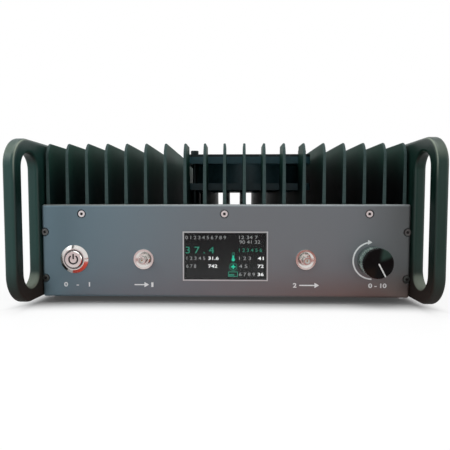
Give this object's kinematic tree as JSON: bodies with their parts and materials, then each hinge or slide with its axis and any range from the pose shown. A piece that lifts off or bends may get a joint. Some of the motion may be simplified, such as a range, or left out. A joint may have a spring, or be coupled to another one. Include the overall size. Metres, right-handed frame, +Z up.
{
  "type": "rf power amplifier",
  "caption": "Benchtop RF power amplifier with dark green side handles, finned heat sink, sunken top fan, grey front panel, colour display, gain knob and coaxial jacks",
  "frame": {"origin": "on the table under the middle of the amplifier's bounding box, at the height of the feet", "axes": "X to the right seen from the front, Y from the front handles to the rear, Z up"},
  "size_m": [0.348, 0.32, 0.144],
  "materials": {
    "green_paint": "dark green satin paint on aluminium plate",
    "grey_panel": "grey bead-blasted anodised aluminium",
    "grey_sheet": "grey painted aluminium sheet",
    "sink_black": "black anodised extrusion",
    "bare_aluminium": "milled aluminium",
    "steel": "zinc plated",
    "polished_steel": "polished",
    "black_steel": "black oxide",
    "gold": "gold plated",
    "brass": "bright",
    "copper": "drawn",
    "rubber": "matt",
    "black_plastic": "satin",
    "black_gloss": "gloss",
    "white_plastic": "smooth",
    "board_green": "solder mask",
    "screen_glass": "clear cover glass"
  },
  "bodies": {
    "chassis": {"right_side_plate": "green_paint", "left_side_plate": "green_paint", "side_screws": "steel", "front_panel": "grey_panel", "panel_screws": "steel", "rear_panel": "grey_sheet", "rear_screws": "steel", "corner_bars": "bare_aluminium", "bottom_cover": "grey_sheet", "cover_screws": "steel", "feet": "rubber", "foot_screws": "steel", "heat_sink": "sink_black", "fan_frame": "black_plastic", "fan_bearings": "steel", "fan_stator": "steel", "fan_guard": "black_steel", "fan_posts": "black_steel", "fan_bolts": "steel", "power_switch_body": "polished_steel", "power_light_ring": "black_gloss", "power_switch_nut": "steel", "power_switch_base": "black_plastic", "input_connector": "gold", "output_connector": "gold", "connector_insulators": "white_plastic", "connector_contacts": "gold", "connector_washers": "polished_steel", "connector_nuts": "polished_steel", "display_bezel": "bare_aluminium", "display_window": "screen_glass", "display_module": "black_plastic", "display_board": "board_green", "display_spacers": "brass", "potentiometer_body": "steel", "potentiometer_nut": "steel", "mains_inlet": "black_plastic", "mains_inlet_pins": "steel", "earth_stud": "brass", "earth_nut": "brass", "rf_module_housing": "bare_aluminium", "rf_module_lid": "bare_aluminium", "lid_screws": "steel", "module_screws": "steel", "rf_circuit": "white_plastic", "input_coax": "copper", "output_coax": "copper", "coax_nuts": "gold", "power_supply_case": "bare_aluminium", "terminal_block": "black_plastic", "control_board": "board_green", "board_standoffs": "brass", "board_screws": "steel", "board_parts": "black_plastic"},
    "button": {"power_button": "polished_steel"},
    "knob": {"gain_knob": "black_gloss", "knob_set_screw": "black_steel", "potentiometer_shaft": "steel"},
    "rotor": {"fan_rotor": "black_plastic", "fan_shaft": "steel"}
  },
  "joints": [
    {"name": "power_press", "type": "slide", "parent": "chassis", "child": "button", "axis": [0, 1, 0], "range_m": [0, 0.0025], "stiffness_N_per_m": 300, "springref_m": -0.003},
    {"name": "gain_turn", "type": "hinge", "parent": "chassis", "child": "knob", "pos_m": [0.13, -0.116, 0.0393], "axis": [0, -1, 0], "range_deg": [0, 300]},
    {"name": "fan_spin", "type": "hinge", "parent": "chassis", "child": "rotor", "pos_m": [0.0222, -0.019, 0.1026], "axis": [0, 0, 1], "continuous": true}
  ]
}
